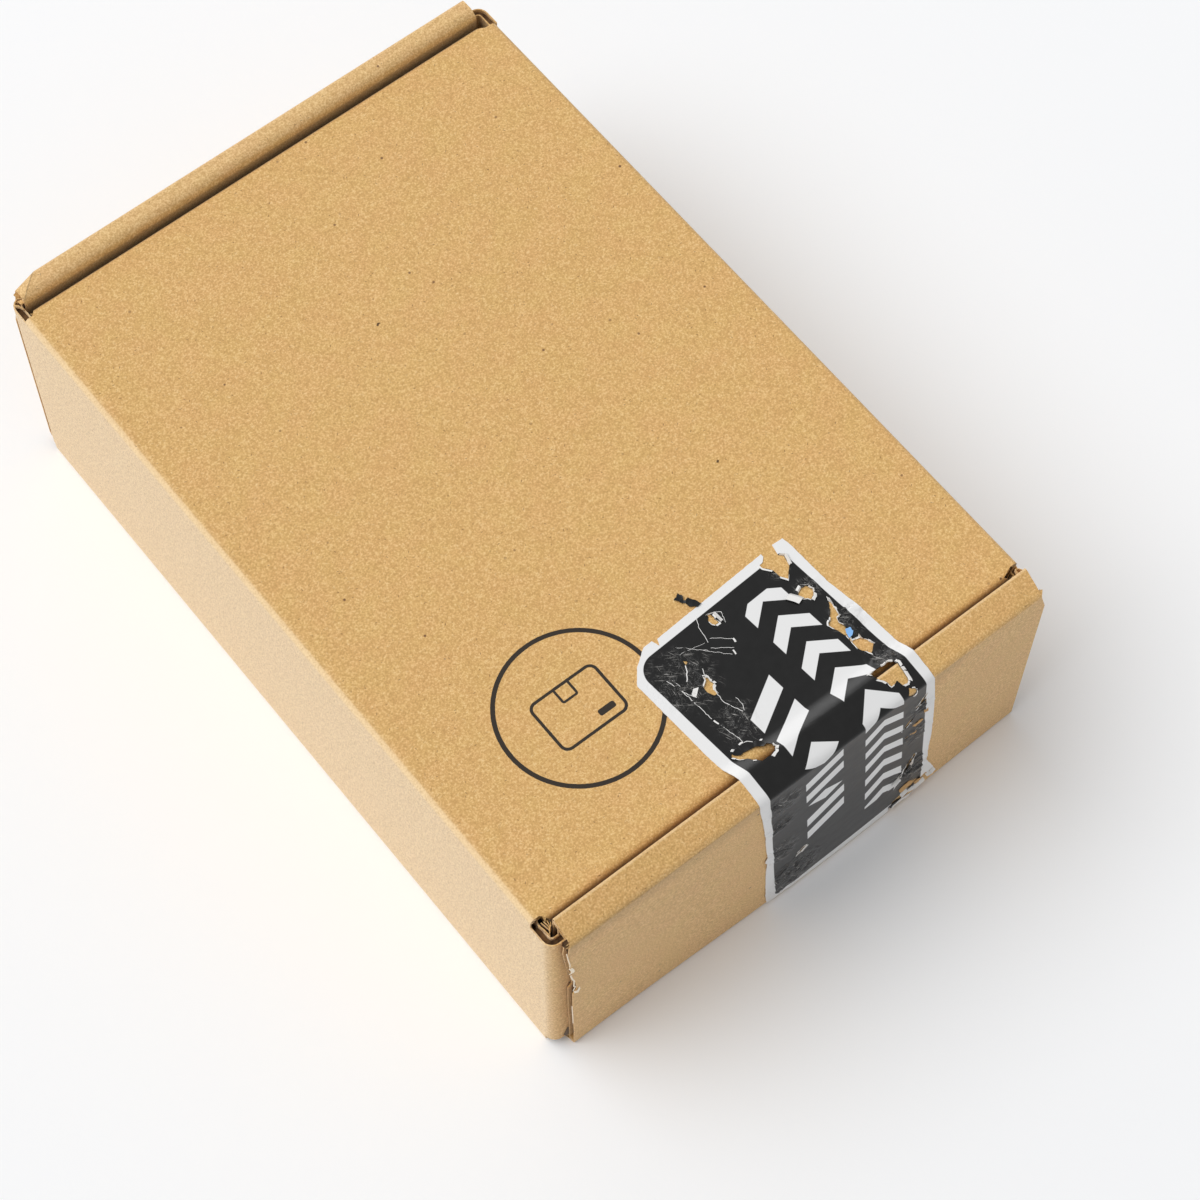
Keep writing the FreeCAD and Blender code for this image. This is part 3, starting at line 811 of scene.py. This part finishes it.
for v in tatters.verts:
    v.co = film_point(v.co.x, v.co.y, v.co.z + crumple(v.co.x, v.co.y))
bmesh.ops.recalc_face_normals(tatters, faces=tatters.faces[:])
bmesh.ops.solidify(tatters, geom=tatters.faces[:], thickness=-SHRED)
white_back = plain_finish("white back of the film", (0.80, 0.79, 0.77), 0.55)
finished(tatters, "seal_tatters", [white_back], "seal_label")


def scraps(name, outlines, finish, lift):
    """Small torn bits of film that lie on the seal or the board."""
    bits = bmesh.new()
    for number, outline in enumerate(outlines):
        ring = [bits.verts.new((p.x, p.y, 0)) for p in torn(outline, 0.35, 0.08, 50 + number)]
        bits.faces.new(ring)
    for v in bits.verts:
        uneven = 0.5 * abs(noise.noise(Vector((v.co.x, v.co.y, 1))))
        v.co = film_point(v.co.x, v.co.y, lift + uneven)
    bmesh.ops.recalc_face_normals(bits, faces=bits.faces[:])
    bmesh.ops.solidify(bits, geom=bits.faces[:], thickness=-SHRED)
    bmesh.ops.triangulate(bits, faces=bits.faces[:])
    finished(bits, name, [finish], "seal_label")


scraps("black_shreds",
       [[(1.8, -4.1), (3.1, -4.6), (3.4, -3.7), (3.0, -3.2), (3.2, -2.7), (2.9, -2.5), (2.5, -2.9)],
        [(2.9, -2.8), (3.8, -3.0), (4.5, -1.9), (4.9, -0.9), (4.0, -0.8), (3.6, -1.3), (3.0, -1.6)],
        [(-8.3, 22.7), (-7.3, 22.3), (-5.0, 22.4), (-3.3, 23.7), (-2.8, 24.8), (-3.6, 24.9),
         (-4.6, 24.0), (-6.2, 23.6), (-7.4, 23.6)],
        [(24.6, 75.8), (26.2, 75.2), (26.4, 76.6), (25.0, 77.4)],
        [(27.6, 77.2), (28.6, 76.8), (28.9, 78.0), (27.9, 78.5)],
        [(20.6, 78.2), (22.4, 77.6), (24.0, 78.6), (22.0, 79.6)]],
       plain_finish("black film", (0.006, 0.006, 0.006), 0.3, 0.22), 0.18)
scraps("kraft_shreds",
       [[(24.3, 38.6), (25.2, 39.0), (25.4, 40.6), (24.6, 40.2)],
        [(24.6, 42.6), (25.6, 43.2), (25.5, 45.2), (24.8, 44.4)],
        [(22.6, 47.2), (24.6, 46.8), (25.2, 47.8), (23.4, 48.2)],
        [(21.4, 50.4), (23.2, 49.8), (24.0, 50.6), (22.2, 51.2)],
        [(22.6, 73.6), (24.4, 72.6), (26.0, 73.4), (25.0, 75.0), (23.2, 75.2)],
        [(26.4, 75.6), (27.6, 75.0), (28.2, 76.4), (27.0, 77.2)]],
       plain_finish("torn kraft", (0.56, 0.34, 0.15), 0.8, 0.2), 0.16)
scraps("blue_chip",
       [[(19.9, 17.2), (20.8, 17.3), (20.7, 18.2), (20.1, 18.7), (19.4, 18.7), (19.5, 18.1)]],
       plain_finish("pale blue film", (0.22, 0.46, 0.84), 0.45), 0.42)


# Torn paper at the open corners: slivers of crushed fluting, white liner torn along the near
# end's raw edge, brightened with a painted highlight, a dark patch of painted shade for a dent
# at its foot, and two dark fibres that lie on the lid.
def sliver(bits, points, way):
    """Adds a thin strip of paper that runs along the points and reaches out one way."""
    corners = [bits.verts.new(point) for point in points]
    edges = [bits.edges.new(pair) for pair in zip(corners, corners[1:])]
    pull(bits, edges, way)


def paper_bits(name, strips, thickness, finish, shade=0.0):
    """An object of several slivers, all of one thickness."""
    bits = bmesh.new()
    for points, way in strips:
        sliver(bits, points, way)
    bmesh.ops.recalc_face_normals(bits, faces=bits.faces[:])
    bmesh.ops.solidify(bits, geom=bits.faces[:], thickness=thickness)
    store(bits, "shade", lambda p: shade)
    finished(bits, name, [finish])


paper_bits("crushed_slivers", [
    ([(-49.4, -69.9, 46.4), (-49.2, -71.2, 46.8), (-49.0, -72.4, 46.3)], (0.1, 0, -1.6)),
    ([(-48.9, -70.0, 46.7), (-48.8, -71.0, 47.1), (-48.6, -71.8, 46.8)], (0.2, 0, -1.3)),
    ([(-48.5, -70.1, 46.8), (-48.45, -71.0, 47.2), (-48.45, -71.7, 46.9)], (0.2, 0, -1.3)),
    ([(-48.0, -70.3, 46.9), (-48.15, -71.0, 47.2), (-48.35, -71.6, 47.0)], (0.2, 0, -1.2)),
    ([(-47.6, -70.9, 47.0), (-47.9, -71.4, 47.3), (-48.4, -71.7, 47.1), (-48.8, -72.2, 46.7)],
     (0.1, 0.1, -0.9)),
    ([(-50.1, 72.9, 48.0), (-49.6, 72.0, 48.5), (-49.2, 71.1, 48.2)], (0.2, 0.1, -1.2)),
    ([(-49.0, 74.0, 47.2), (-48.8, 73.7, 47.8), (-48.3, 73.1, 48.2)], (0.1, 0.1, -1.0)),
    ([(-49.3, 73.3, 47.6), (-48.8, 72.8, 48.3), (-48.2, 72.0, 48.6), (-48.3, 71.3, 48.3)],
     (0.2, 0.1, -1.1)),
    ([(48.1, -71.9, 49.0), (48.2, -70.8, 48.7), (48.5, -70.2, 48.3), (49.1, -70.5, 48.3),
      (49.5, -71.5, 48.5)], (0, 0, -1.0)),
    ([(47.3, -70.9, 48.1), (47.7, -71.6, 48.3)], (0, 0, -1.0))], 0.12, kraft)
paper_bits("torn_liner", [
    ([(-48.5, -76.05, 45.2), (-48.3, -76.2, 42.6), (-48.0, -76.2, 40.2), (-47.9, -76.05, 38.6)],
     (-0.13, -0.08, 0)),
    ([(-48.2, -76.0, 37.8), (-47.9, -76.25, 36.9), (-47.9, -76.25, 36.0), (-48.1, -76.0, 35.2)],
     (0.55, -0.12, 0.1)),
    ([(-47.7, -76.0, 34.4), (-47.5, -76.2, 32.8), (-47.1, -76.1, 31.2), (-47.3, -76.25, 29.6),
      (-46.9, -76.1, 28.2), (-47.2, -75.95, 26.8)], (-0.24, -0.08, 0)),
    ([(-47.3, -75.95, 26.2), (-46.7, -76.2, 26.1), (-46.1, -76.0, 26.6)], (0.1, -0.08, -0.8)),
    ([(-47.5, -75.85, 19.5), (-47.45, -75.95, 15.0), (-47.3, -75.8, 11.0)], (-0.12, -0.05, 0))],
    # Partly painted highlight: the torn liner's cream is raised to full brightness to stand for the
    # light the flecks catch.
    0.10, plain_finish("torn white liner", (1.0, 0.88, 0.70), 0.8, 0.2))
paper_bits("dark_fibres_and_painted_shade", [
    ([(-4.5, 31.5, 47.84), (-4.1, 31.8, 47.84), (-3.8, 31.7, 47.84)], (0.15, -0.3, 0)),
    ([(23.5, -24.6, 47.84), (23.9, -24.3, 47.84)], (0.2, -0.3, 0)),
    # Painted shade: this sliver is a dark patch standing for the shade of a dent low on the ear.
    ([(-48.2, -74.25, 3.2), (-47.3, -74.25, 5.6)], (0.7, 0, -1.7))], 0.05, kraft, 0.9)


# A plain pale table to stand the parcel on.
floor_sheet = bmesh.new()
bmesh.ops.create_grid(floor_sheet, x_segments=1, y_segments=1, size=3.0)
floor_mesh = bpy.data.meshes.new("table_top")
floor_sheet.to_mesh(floor_mesh)
floor_sheet.free()
table_top = bpy.data.objects.new("table_top", floor_mesh)
bpy.context.scene.collection.objects.link(table_top)
table_white = bpy.data.materials.new("table white")
table_white.use_nodes = True
table_inputs = table_white.node_tree.nodes["Principled BSDF"].inputs
table_inputs["Base Color"].default_value = (0.935, 0.945, 0.960, 1)
table_inputs["Roughness"].default_value = 1.0
table_inputs["Specular IOR Level"].default_value = 0.0
floor_mesh.materials.append(table_white)


# Light: a soft sky, one broad lamp high over the hinge wall's far end, a weak window behind the
# far end, and a card that only glossy film shows.
sky = bpy.data.worlds.new("soft sky")
bpy.context.scene.world = sky
sky.use_nodes = True
tree = sky.node_tree
background = tree.nodes["Background"]
path = add(tree, "ShaderNodeLightPath")
seen = sums(tree, "MAXIMUM", path.outputs["Is Camera Ray"], path.outputs["Is Glossy Ray"])
seen = sums(tree, "MAXIMUM", seen, path.outputs["Is Transmission Ray"])
tree.links.new(between(tree, seen, 0.0, 1.0, 0.44, 0.95), background.inputs["Strength"])
background.inputs["Color"].default_value = (1.0, 1.0, 1.0, 1.0)


def hang(lamp, name, way, place=(0, 0, 0), up="Y"):
    """Puts a lamp in the scene at a place, shining one way."""
    made = bpy.data.objects.new(name, lamp)
    bpy.context.scene.collection.objects.link(made)
    made.location = place
    made.rotation_mode = "QUATERNION"
    made.rotation_quaternion = Vector(way).to_track_quat("-Z", up)
    return made


lamp = bpy.data.lights.new("broad lamp", "SUN")
lamp.energy = 1.95
lamp.angle = math.radians(55)
hang(lamp, "broad_lamp", (0.42, -0.32, -0.85))
glow = bpy.data.lights.new("window", "AREA")
glow.shape = "DISK"
glow.size = 0.5
glow.energy = 0.22
window = hang(glow, "window", (-0.05, -0.44, -0.30), (0.05, 0.48, 0.34))
window.visible_camera = False
card = bpy.data.lights.new("gloss card", "AREA")
card.shape = "RECTANGLE"
card.size = 0.34
card.size_y = 0.16
card.energy = 0.55
gloss_card = hang(card, "gloss_card", (-0.284, -0.943, -0.122), (0.16, 0.46, 0.13), "Z")
gloss_card.visible_camera = False
gloss_card.visible_diffuse = False


# The camera stands where the photograph was taken from, above the near end's left corner.
eye = bpy.data.cameras.new("camera")
eye.lens = 94.91
eye.sensor_width = 36.0
eye_object = bpy.data.objects.new("camera", eye)
bpy.context.scene.collection.objects.link(eye_object)
eye_object.location = (-0.15231, -0.21312, 0.50212)
forward = Vector((0.28422, 0.35406, -0.89099)).normalized()
right = Vector((0.78178, -0.62355, 0.00160)).normalized()
upward = right.cross(forward)
eye_object.rotation_mode = "QUATERNION"
eye_object.rotation_quaternion = Matrix((right, upward, -forward)).transposed().to_quaternion()
bpy.context.scene.camera = eye_object
bpy.context.scene.view_settings.view_transform = "Standard"
